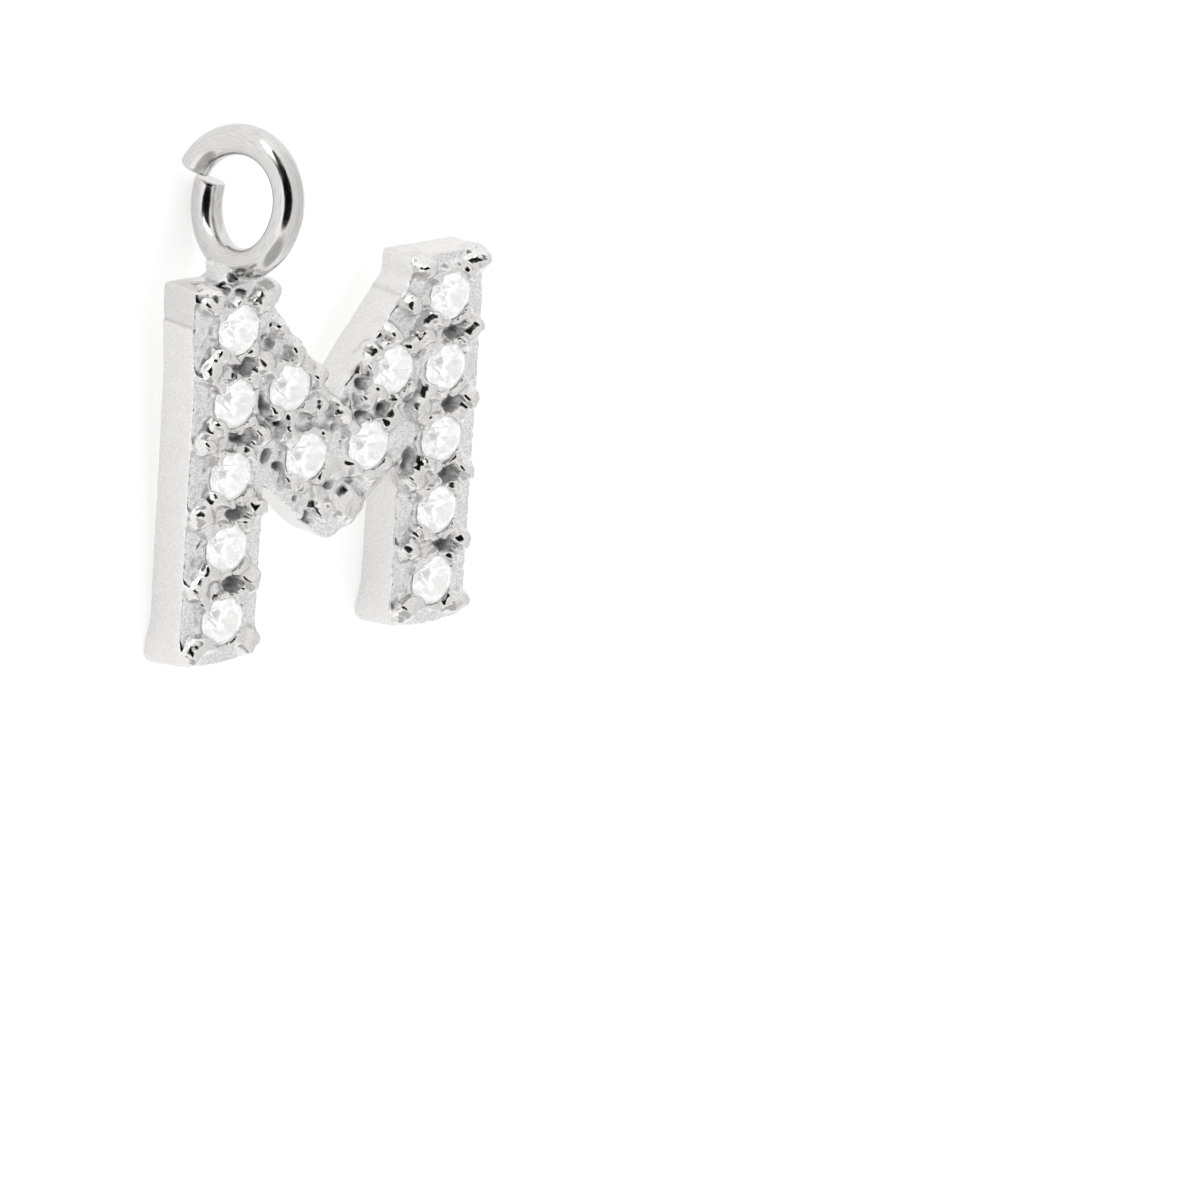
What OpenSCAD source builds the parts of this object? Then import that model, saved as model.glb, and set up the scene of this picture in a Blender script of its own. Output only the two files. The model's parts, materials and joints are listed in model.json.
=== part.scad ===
// Initial pendant: a stone-set letter M, cast in silver, on an open soldered jump ring.
// The pendant lies on its back. +X is the letter's right, +Y runs from its feet to its
// top, and +Z is up. The origin is the middle of its bounding box, at the bottom.
// Sizes in mm, angles in degrees.

/* [Letter] */
// Height of the letter, without the ring
letter_h = 8.22; // [7.8:0.02:9.6]
// Distance between the middle lines of the two legs
leg_span = 5.94; // [5.8:0.02:7]
// Width of each leg
leg_w = 2.12; // [2:0.02:2.5]
// Thickness of the plate that carries the stones
plate_t = 1.05; // [0.8:0.05:1.8]
// Drop of a leg's inner side before its arm starts
arm_step = 0.55; // [0.3:0.05:0.8]
// Depth of the notch between the arms, below the letter's top
notch_depth = 2.9; // [2.4:0.05:3]
// Depth below the top at which an arm's lower edge leaves its leg
arm_root_depth = 4.5; // [4.2:0.05:5.2]
// Depth of the rounded foot where the arms meet, below the letter's top
foot_depth = 5.95; // [5.8:0.05:6.6]
// Radius of that rounded foot
foot_r = 0.45; // [0.3:0.05:0.6]
// Radius of the outer corners of the legs
corner_r = 0.2; // [0.05:0.05:0.4]

/* [Stones] */
// Diameter of each round brilliant
stone_d = 1.1; // [1:0.02:1.2]
// Height of the girdle above the letter's front face
girdle_lift = 0.09; // [0.04:0.01:0.15]
// Clearance between a stone and the metal that holds it
stone_gap = 0.03; // [0.01:0.01:0.06]
// Distance from a leg's end to the middle of its first stone
end_margin = 0.93; // [0.85:0.01:1.1]
// Width of the hollows cut between the stones
hollow_d = 0.42; // [0.3:0.02:0.5]
// Depth of those hollows
hollow_depth = 0.14; // [0.08:0.01:0.2]

/* [Prongs] */
// Diameter of a prong's round head
head_d = 0.43; // [0.36:0.01:0.46]
// Diameter of the larger heads at the corners and the foot
big_head_d = 0.56; // [0.46:0.01:0.6]
// Height of the heads above the letter's front face
head_h = 0.42; // [0.36:0.01:0.6]

/* [Jump ring] */
// Diameter of the ring's wire
wire_d = 0.68; // [0.5:0.02:0.8]
// Inner diameter of the ring
ring_inner_d = 1.92; // [1.6:0.02:2.6]
// Sideways lean of the ring towards the letter's middle
ring_lean = 11; // [0:1:15]
// Turn of the ring about its own upright
ring_turn = 6; // [0:1:10]
// Angle by which its two arcs are twisted apart
ring_open = 14.5; // [8:0.5:20]
// Height of the solder between the leg's top and the wire
solder_h = 0.03; // [0.02:0.01:0.2]
// Distance of the ring's foot from the leg's middle line, towards the letter's middle
ring_shift = 0.26; // [0:0.02:0.4]
// Height of the ring's foot above the middle of the plate
ring_rise = 0.065; // [0:0.005:0.15]

/* [Hidden] */
$fn = 64;
overlap = 0.1;
leg_x = leg_span / 2;
half_h = letter_h / 2;
inner_x = leg_x - leg_w / 2;
stone_r = stone_d / 2;

// Stones on a leg, evenly spaced and centred on its height.
leg_stones = 5;
stone_pitch = (letter_h - 2 * end_margin) / (leg_stones - 1);
// Stones on an arm: [share of leg_x, share of half_h], from its upper end.
ACROSS = 0;
UP = 1;
ARM_STONES = [[0.487, 0.42], [0.295, 0.031]];
arm_hollow = (ARM_STONES[0] + ARM_STONES[1]) / 2;

// Cut of a stone, as shares of its diameter.
table_share = 0.56;
star_share = 0.78;
crown_share = 0.16;
girdle_share = 0.03;
pavilion_share = 0.43;
keel_share = 0.24;
facet_step = 22.5;

// Prongs of a leg stone, as angles from +X: the upper pair stands wider than the lower.
upper_prong_a = 41.5;
lower_prong_a = 53;
// Prongs of each right-arm stone, by the same rule; the left arm mirrors them.
ARM_PRONGS = [[75, 215, 292], [35, 133, 268, 305]];
// Beads raised where no stone needs a prong: [share of leg_x, share of half_h, head].
HEAD = 2;
SIDE_BEADS = [
    [0.68, 0.704, head_d],
    [0.255, 0.466, 0.62 * head_d],
    [0.101, -0.272, big_head_d]
];
MIDDLE_BEADS = [[0, 0.075, 0.9 * head_d], [0, -0.06, 1.12 * head_d]];
shank_share = 0.93;
head_z = head_h - head_d / 2;
shank_root = 0.25;

// Jump ring: angles run from its top towards the viewer, and both arcs turn about the
// hinge, the point in front where the wire was bent.
wire_r = wire_d / 2;
ring_r = ring_inner_d / 2 + wire_r;
hinge_a = 100;
long_end_a = -71;
short_end_a = 279;
knuckle_share = 1.02;
long_turn = ring_turn + ring_open / 2;
short_turn = ring_turn - ring_open / 2;
ring_foot = [ring_shift - leg_x, half_h + solder_h + wire_r, plate_t / 2 + ring_rise];
ring_up = [sin(ring_lean), cos(ring_lean), 0];
ring_side = [cos(ring_lean), -sin(ring_lean), 0];
function ring_depth(turn) = ring_side * sin(turn) + [0, 0, cos(turn)];
function from_centre(a, turn) = ring_r * (cos(a) * ring_up + sin(a) * ring_depth(turn));
hinge = ring_foot + ring_r * ring_up + from_centre(hinge_a, 0);
function arc_centre(turn) = hinge - from_centre(hinge_a, turn);
wire_foot = arc_centre(short_turn) - ring_r * ring_up;

// Resting pose: the ring's short arc and the legs' lower back edges touch the floor.
// A direction's ring_reach is how far the ring's wire extends along it.
function ring_reach(turn, dir) = let (lean = cross(ring_up, ring_depth(turn)) * dir)
    ring_r * sqrt(1 - lean * lean) + wire_r;
rest_c = arc_centre(short_turn);
rest_len = norm([rest_c[1] + half_h, rest_c[2]]);
rest_a = atan2(rest_c[2], rest_c[1] + half_h);
function settle(t, steps) = steps == 0 ? t
    : settle(asin(ring_reach(short_turn, [0, sin(t), cos(t)]) / rest_len) - rest_a, steps - 1);
rest_tilt = settle(0, 8);
along = [0, cos(rest_tilt), -sin(rest_tilt)];
top_y = arc_centre(long_turn) * along + ring_reach(long_turn, along);
bottom_y = [0, -half_h, plate_t] * along;

// Names of the stones and where each stands: [name, x, y, turn about its own axis].
NAME = 0;
turn_step = 13;
STONES = [
    for (side = [-1, 1], k = [0 : leg_stones - 1])
        [str(side < 0 ? "left" : "right", "_leg_stone_", k + 1),
         side * leg_x, stone_pitch * ((leg_stones - 1) / 2 - k), turn_step * k],
    for (side = [-1, 1], k = [0 : len(ARM_STONES) - 1])
        [str(side < 0 ? "left" : "right", "_arm_stone_", k + 1),
         side * leg_x * ARM_STONES[k][ACROSS], half_h * ARM_STONES[k][UP],
         turn_step * (k + leg_stones)]
];

// Lays a part that was drawn in the letter's own frame into its resting pose.
module at_rest() {
    translate([0, -(top_y + bottom_y) / 2, half_h * sin(rest_tilt)])
        rotate([rest_tilt, 0, 0])
            children();
}

// Letter plate

module leg_outline() {
    for (x = [corner_r - leg_w / 2, leg_w / 2 - corner_r], y = [corner_r - half_h, half_h - corner_r])
        translate([x, y])
            circle(r = corner_r);
    square([leg_w - 2 * corner_r, letter_h], center = true);
    square([leg_w, letter_h - 2 * corner_r], center = true);
}

// Both arms as one V, with the rounded foot's circle meeting its two lower edges.
module arms_outline() {
    root = [inner_x, half_h - arm_root_depth];
    foot_c = [0, half_h - foot_depth + foot_r];
    reach = root - foot_c;
    touch_a = atan2(reach[1], reach[0]) - acos(foot_r / norm(reach));
    touch = foot_c + foot_r * [cos(touch_a), sin(touch_a)];
    translate(foot_c)
        circle(r = foot_r);
    polygon([
        [0, half_h - notch_depth],
        [inner_x, half_h - arm_step],
        [inner_x + overlap, half_h - arm_step],
        [inner_x + overlap, root[1]],
        root,
        touch,
        foot_c,
        [-touch[0], touch[1]],
        [-root[0], root[1]],
        [-inner_x - overlap, root[1]],
        [-inner_x - overlap, half_h - arm_step],
        [-inner_x, half_h - arm_step]
    ]);
}

module plate() {
    difference() {
        linear_extrude(height = plate_t) {
            for (side = [-1, 1])
                translate([side * leg_x, 0])
                    leg_outline();
            arms_outline();
        }
        for (side = [-1, 1]) {
            for (k = [1 : leg_stones - 1])
                hollow([side * leg_x, stone_pitch * (leg_stones / 2 - k)]);
            hollow([side * leg_x * arm_hollow[ACROSS], half_h * arm_hollow[UP]]);
        }
    }
}

// Shallow round hollow in the face, where metal between the stones is cut away.
module hollow(place) {
    r = (pow(hollow_d / 2, 2) + pow(hollow_depth, 2)) / (2 * hollow_depth);
    translate([place[0], place[1], plate_t + r - hollow_depth])
        sphere(r = r);
}

// Prongs

// A shank rooted in the plate, with a round head.
module prong(d) {
    translate([0, 0, -shank_root])
        cylinder(d = shank_share * d, h = shank_root + head_z);
    translate([0, 0, head_z])
        sphere(d = d);
}

// A prong that stands beside a stone at angle a from +X.
module prong_at(a, d) {
    rotate([0, 0, a])
        translate([stone_r + stone_gap + d / 2, 0, 0])
            prong(d);
}

module leg_prongs() {
    last = leg_stones - 1;
    for (k = [0 : last], side = [0, 180]) {
        mirrored = side == 0 ? 1 : -1;
        translate([0, stone_pitch * (last / 2 - k), 0]) {
            prong_at(side + mirrored * upper_prong_a, k == 0 ? big_head_d : head_d);
            prong_at(side - mirrored * (k == last ? upper_prong_a : lower_prong_a),
                     k == last ? big_head_d : head_d);
        }
    }
}

module arm_prongs() {
    for (k = [0 : len(ARM_STONES) - 1])
        translate([leg_x * ARM_STONES[k][ACROSS], half_h * ARM_STONES[k][UP], 0])
            for (a = ARM_PRONGS[k])
                prong_at(a, head_d);
    beads(SIDE_BEADS);
}

module beads(table) {
    for (b = table)
        translate([leg_x * b[ACROSS], half_h * b[UP], 0])
            prong(b[HEAD]);
}

module prongs() {
    translate([0, 0, plate_t]) {
        for (side = [-1, 1])
            translate([side * leg_x, 0, 0])
                leg_prongs();
        arm_prongs();
        mirror([1, 0, 0])
            arm_prongs();
        beads(MIDDLE_BEADS);
    }
}

// Seats and stones

// Cone cut for one stone: its pavilion's slope, dropped by the clearance, with a small
// flat one clearance below the culet.
module seat() {
    pavilion_h = pavilion_share * stone_d;
    slope = stone_r / pavilion_h;
    drop = stone_gap / sin(atan(slope));
    tip_r = slope * (drop - stone_gap);
    depth = pavilion_h + stone_gap - girdle_lift;
    translate([0, 0, -depth])
        cylinder(h = depth + overlap, r1 = tip_r, r2 = tip_r + slope * (depth + overlap));
}

// Round brilliant with a table, 8 stars, 8 kites, 16 upper and 16 lower girdle facets
// and 8 pavilion mains. Its girdle's lower edge is at z = 0.
module brilliant(d) {
    r = d / 2;
    count = 360 / facet_step;
    mains = count / 2;
    girdle_top = girdle_share * d;
    table_z = girdle_top + crown_share * d;
    culet_z = -pavilion_share * d;
    kite_c = cos(facet_step);
    star_z = table_z + (girdle_top - table_z) * (star_share * kite_c - table_share) / (1 - table_share);
    keel_z = culet_z - culet_z * 2 * keel_share * kite_c;
    function ring_at(n, step, start, rr, z) =
        [for (i = [0 : n - 1]) [rr * cos(start + i * step), rr * sin(start + i * step), z]];
    table_0 = 0;
    star_0 = table_0 + mains;
    top_0 = star_0 + mains;
    low_0 = top_0 + count;
    keel_0 = low_0 + count;
    culet = keel_0 + mains;
    points = concat(
        ring_at(mains, 2 * facet_step, 0, table_share * r, table_z),
        ring_at(mains, 2 * facet_step, facet_step, star_share * r, star_z),
        ring_at(count, facet_step, 0, r, girdle_top),
        ring_at(count, facet_step, 0, r, 0),
        ring_at(mains, 2 * facet_step, facet_step, 2 * keel_share * r, keel_z),
        [[0, 0, culet_z]]
    );
    function wrap(i, n) = (i + n) % n;
    faces = concat(
        [[for (i = [mains - 1 : -1 : 0]) table_0 + i]],
        [for (i = [0 : mains - 1]) [table_0 + i, table_0 + wrap(i + 1, mains), star_0 + i]],
        [for (i = [0 : mains - 1])
            [table_0 + i, star_0 + i, top_0 + 2 * i, star_0 + wrap(i - 1, mains)]],
        [for (i = [0 : mains - 1]) [star_0 + i, top_0 + 2 * i + 1, top_0 + 2 * i]],
        [for (i = [0 : mains - 1]) [star_0 + i, top_0 + wrap(2 * i + 2, count), top_0 + 2 * i + 1]],
        [for (i = [0 : count - 1])
            [top_0 + i, top_0 + wrap(i + 1, count), low_0 + wrap(i + 1, count), low_0 + i]],
        [for (i = [0 : mains - 1]) [keel_0 + i, low_0 + 2 * i, low_0 + 2 * i + 1]],
        [for (i = [0 : mains - 1]) [keel_0 + i, low_0 + 2 * i + 1, low_0 + wrap(2 * i + 2, count)]],
        [for (i = [0 : mains - 1]) [culet, keel_0 + wrap(i - 1, mains), low_0 + 2 * i, keel_0 + i]]
    );
    polyhedron(points = points, faces = faces);
}

module stone(s) {
    color("white")
        at_rest()
            translate([s[1], s[2], plate_t + girdle_lift])
                rotate([0, 0, s[3]])
                    brilliant(stone_d);
}

// Jump ring

// One arc of the wire, from ring angle start through sweep, turned about the hinge.
module ring_arc(turn, start, sweep) {
    translate(hinge)
        rotate([0, 0, -ring_lean])
            rotate([0, turn, 0])
                translate(-ring_r * [0, cos(hinge_a), sin(hinge_a)])
                    rotate([90, 0, 90])
                        rotate([0, 0, start])
                            rotate_extrude(angle = sweep)
                                translate([ring_r, 0])
                                    circle(r = wire_r);
}

module jump_ring() {
    ring_arc(long_turn, long_end_a, hinge_a - long_end_a);
    ring_arc(short_turn, hinge_a, short_end_a - hinge_a);
    translate(hinge)
        sphere(r = knuckle_share * wire_r);
}

// Solder that carries the ring on the top of the left leg.
module solder() {
    base_r = 0.8 * plate_t / 2;
    top_r = 0.85 * wire_r;
    rise = solder_h + 0.7 * wire_r;
    translate([wire_foot[0], half_h - overlap, wire_foot[2]])
        rotate([-90, 0, 0])
            cylinder(h = overlap + rise, r1 = base_r, r2 = top_r);
}

// Nodes

module letter_setting() {
    color("silver")
        at_rest() {
            difference() {
                union() {
                    plate();
                    prongs();
                }
                for (s = STONES)
                    translate([s[1], s[2], plate_t])
                        seat();
            }
            jump_ring();
            solder();
        }
}

letter_setting();
for (s = STONES)
    stone(s);
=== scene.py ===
"""Initial pendant: a cast silver letter M with bead-set stones, on an open jump ring.

The letter's own frame has X to its right, Y up it and Z out of its face, from its back, in
millimetres. The pendant lies on its back, so that frame is tilted in the scene.
"""

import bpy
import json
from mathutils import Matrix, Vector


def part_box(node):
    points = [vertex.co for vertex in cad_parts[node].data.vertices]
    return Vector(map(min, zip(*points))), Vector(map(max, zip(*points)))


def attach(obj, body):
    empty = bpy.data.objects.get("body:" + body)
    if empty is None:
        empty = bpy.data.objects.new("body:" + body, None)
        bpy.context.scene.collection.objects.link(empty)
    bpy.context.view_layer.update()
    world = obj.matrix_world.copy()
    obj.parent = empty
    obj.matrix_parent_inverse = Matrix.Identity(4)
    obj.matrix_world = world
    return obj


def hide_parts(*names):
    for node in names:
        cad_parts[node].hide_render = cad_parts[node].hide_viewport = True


bl_info = {
    "name": "Stone-set letter pendant",
    "version": (1, 0, 0),
    "blender": (4, 5, 0),
    "location": "View3D > Sidebar > Pendant",
    "description": "Dresses a cast letter, its jump ring and its stones, and sets up a studio",
    "category": "Add Mesh",
}

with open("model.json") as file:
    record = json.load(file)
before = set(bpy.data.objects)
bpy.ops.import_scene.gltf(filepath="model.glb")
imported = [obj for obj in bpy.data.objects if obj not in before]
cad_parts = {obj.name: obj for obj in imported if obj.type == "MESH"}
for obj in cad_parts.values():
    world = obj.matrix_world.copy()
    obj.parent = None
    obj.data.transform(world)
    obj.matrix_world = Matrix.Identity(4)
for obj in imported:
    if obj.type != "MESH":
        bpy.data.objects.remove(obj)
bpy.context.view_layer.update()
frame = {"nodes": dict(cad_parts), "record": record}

import json
import math

import bmesh
import bpy
import numpy as np
import openvdb
from bpy.props import FloatProperty, PointerProperty, StringProperty
from mathutils import Matrix, Vector, noise

MM = 0.001
BODY = "root"
SETTING = "letter_setting"
STONES = sorted(name for name in frame["nodes"] if "stone" in name)
# The distance to metal, in mm, with which the casting's field starts and which it has off
# its grid.
FAR = 1.0


# Places that come from the frame


def mount(name):
    """A mount of the record: (place, axis), in metres."""
    found = next(m for m in frame["record"]["mounts"] if m["name"] == name)
    return Vector(found["pos_m"]), Vector(found["axis"])


def letter_matrix():
    """Turns the letter's own millimetres into the scene's metres."""
    place, outward = mount("back")
    tilt = math.atan2(outward.y, -outward.z)
    return (
        Matrix.Translation(place)
        @ Matrix.Rotation(tilt, 4, "X")
        @ Matrix.Translation((-place.x, 0, 0))
        @ Matrix.Scale(MM, 4)
    )


LETTER = letter_matrix()
LEG_X = -mount("back")[0].x / MM


def stone_places():
    """The middle of each stone across the face, in the letter's own millimetres."""
    places = {}
    for name in STONES:
        low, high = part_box(name)
        middle = LETTER.inverted() @ ((Vector(low) + Vector(high)) / 2)
        places[name] = (middle.x, middle.y)
    return places


# Sizes and colours that a user can change


def length(name, description, size):
    """A length property, from a size in millimetres."""
    return FloatProperty(
        name=name, description=description, default=size * MM, min=0, unit="LENGTH", precision=5
    )


def angle(name, description, degrees):
    """An angle property, from degrees."""
    return FloatProperty(
        name=name, description=description, default=math.radians(degrees), subtype="ANGLE"
    )


def colour(name, description, sixteen):
    """A colour property, from an sRGB hex value."""
    return StringProperty(name=name, description=description + ", as sRGB hex", default=sixteen)


class CastingSizes(bpy.types.PropertyGroup):
    """The cast letter."""

    letter_h: length("Height", "Height of the letter without its ring", 8.22)
    leg_w: length("Leg width", "Width of each leg", 2.12)
    plate_t: length("Thickness", "Thickness of the plate under the stones", 1.05)
    arm_step: length("Arm step", "Drop of a leg's inner side before its arm starts", 0.55)
    notch_depth: length("Notch depth", "Depth of the notch between the arms", 2.9)
    arm_root_depth: length("Arm root", "Depth at which an arm's lower edge leaves its leg", 4.5)
    foot_depth: length("Foot depth", "Depth of the foot where the arms meet", 5.95)
    foot_r: length("Foot radius", "Radius of that foot", 0.45)
    corner_r: length("Corner radius", "Radius of the legs' outer corners", 0.2)
    edge_r: length("Edge softness", "How far the tumbled edges are rounded", 0.07)
    stone_d: length("Stone", "Diameter of a stone", 1.1)
    girdle_lift: length("Girdle lift", "Height of a stone's girdle above the face", 0.09)
    collar_h: length("Collar height", "Height of the metal raised round a stone", 0.07)
    trough_depth: length("Trough depth", "Depth of the metal cut away between stones", 0.16)
    bead_d: length("Bead", "Diameter of the beads along the edges", 0.5)
    prong_d: length("Prong", "Diameter of the small prongs at a stone's rim", 0.36)
    bead_h: length("Bead height", "Height of the beads above the face", 0.37)
    grain: length("Grain", "How far the cast skin strays from true", 0.026)
    voxel: length("Voxel", "Step of the grid on which the casting is worked out", 0.033)


class RingSizes(bpy.types.PropertyGroup):
    """The jump ring."""

    wire_d: length("Wire", "Diameter of the wire", 0.68)
    inner_d: length("Inner diameter", "Inner diameter of the ring", 1.92)
    open_angle: angle("Opening", "Angle by which the two arcs are twisted apart", 14.5)
    hinge_angle: angle("Hinge", "Where the wire was bent, from the ring's top to the front", 100)
    long_end: angle("Long end", "Where the longer arc is cut", -71)
    short_end: angle("Short end", "Where the shorter arc is cut", 279)


class FinishColours(bpy.types.PropertyGroup):
    """Colours of the metal, its painted shade, the stones and the studio."""

    silver: colour("Silver", "Rhodium-plated silver where it is smooth", "E2E1E0")
    satin: colour("Satin", "Its grains that the tumbling left matt", "D5D4D3")
    cast_skin: colour("Cast skin", "The unpolished metal of the face", "FAFAFA")
    cast_pits: colour("Cast pits", "The grains between that stay dark", "CECECE")
    # A painted shade, laid darker into recesses, hollows and pits, on the tops and on the left leg's
    # shoulder band
    painted_shade: colour("Recess", "The bottoms of the recesses", "3A3A3A")
    wire: colour("Wire", "The silver of the jump ring", "D3D2D1")
    wire_line: colour("Wire line", "The drawing lines along it", "BFBEBD")
    stone: colour("Stone", "The clear stones", "FFFFFF")
    floor: colour("Floor", "The plain floor", "F6F6F6")


# Distances, in mm, that shape the casting


def smooth_min(a, b, blend):
    """The smaller distance, with a fillet about as wide as blend where the two are close."""
    close = np.maximum(blend - np.abs(a - b), 0)
    return np.minimum(a, b) - close * close / (4 * blend)


def smooth_max(a, b, blend):
    """The larger distance, with the same fillet."""
    return -smooth_min(-a, -b, blend)


def smooth_step(value, start, stop):
    """A share that eases from 0 at start to 1 at stop."""
    share = np.clip((value - start) / (stop - start), 0, 1)
    return share * share * (3 - 2 * share)


def rounded_box(x, y, half_w, half_h, corner_r):
    """Signed distance to a rectangle with round corners, about the middle."""
    out_x = np.abs(x) - half_w + corner_r
    out_y = np.abs(y) - half_h + corner_r
    outside = np.hypot(np.maximum(out_x, 0), np.maximum(out_y, 0))
    return outside + np.minimum(np.maximum(out_x, out_y), 0) - corner_r


def rounded_block(middle, half, corner_r):
    """A block with round edges, from its middle and its half sizes."""

    def distance(x, y, z):
        off = [np.abs(p - m) - h + corner_r for p, m, h in zip((x, y, z), middle, half)]
        outside = np.sqrt(sum(np.maximum(o, 0) ** 2 for o in off))
        return outside + np.minimum(np.maximum(np.maximum(off[0], off[1]), off[2]), 0) - corner_r

    return distance


def polygon_distance(x, y, corners):
    """Signed distance to a closed polygon."""
    nearest = np.full(x.shape, np.inf)
    inside = np.zeros(x.shape, bool)
    for (ax, ay), (bx, by) in zip(corners, corners[1:] + corners[:1]):
        along = np.clip(
            ((x - ax) * (bx - ax) + (y - ay) * (by - ay)) / ((bx - ax) ** 2 + (by - ay) ** 2), 0, 1
        )
        nearest = np.minimum(nearest, np.hypot(x - ax - along * (bx - ax), y - ay - along * (by - ay)))
        if ay != by:
            crosses = (ay > y) != (by > y)
            inside ^= crosses & (x < (bx - ax) * (y - ay) / (by - ay) + ax)
    return np.where(inside, -nearest, nearest)


def bar(start, stop, start_r, stop_r):
    """A round bar with ball ends, from one place and radius to another."""
    run = [b - a for a, b in zip(start, stop)]
    square = sum(r * r for r in run)

    def distance(x, y, z):
        off = (x - start[0], y - start[1], z - start[2])
        along = np.clip(sum(o * r for o, r in zip(off, run)) / square, 0, 1)
        gap = np.sqrt(sum((o - along * r) ** 2 for o, r in zip(off, run)))
        return gap - start_r - along * (stop_r - start_r)

    return distance


def lumpy(distance, size=0.03):
    """The same shape, bent by waves about half a mm long, as hand-raised beads are."""

    def bent(x, y, z):
        # Turns in radians for each mm, with no common measure, so that no two lumps look alike.
        return distance(
            x + size * np.sin(11.3 * y + 6.1 * z + 1.3),
            y + size * np.sin(12.7 * x - 5.3 * z + 0.4),
            z + size * np.sin(7.9 * x + 9.1 * y + 2.2),
        )

    return bent


class CastField:
    """Signed distances on a grid over the letter: what is below zero is metal."""

    def __init__(self, low, high, step):
        self.step = step
        self.axes = [a + step * np.arange(math.ceil((b - a) / step) + 1) for a, b in zip(low, high)]
        self.values = np.full([len(axis) for axis in self.axes], FAR)

    def near(self, middle, reach):
        """The part of the grid within reach of a place, and its coordinates."""
        part = tuple(
            slice(*np.searchsorted(axis, (m - reach, m + reach)))
            for axis, m in zip(self.axes, middle)
        )
        return part, np.ix_(*(axis[p] for axis, p in zip(self.axes, part)))

    def add(self, middle, distance, reach, blend):
        """Joins a shape to the metal, within reach of its middle."""
        part, places = self.near(middle, reach)
        self.values[part] = smooth_min(self.values[part], distance(*places), blend)

    def remove(self, middle, distance, reach, blend):
        """Cuts a shape out of the metal, within reach of its middle."""
        part, places = self.near(middle, reach)
        self.values[part] = smooth_max(self.values[part], -distance(*places), blend)

    def at(self, places):
        """Distances at some places, from the nearest grid point."""
        low = [axis[0] for axis in self.axes]
        index = np.rint((places - low) / self.step).astype(int)
        index = np.clip(index, 0, np.array(self.values.shape) - 1)
        return self.values[tuple(index.T)]

    def surface(self):
        """Places and quads of the surface at distance zero."""
        grid = openvdb.FloatGrid(FAR)
        grid.copyFromArray(self.values)
        places, _, quads = grid.convertToPolygons()
        return places * self.step + [axis[0] for axis in self.axes], quads


# The casting


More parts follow.
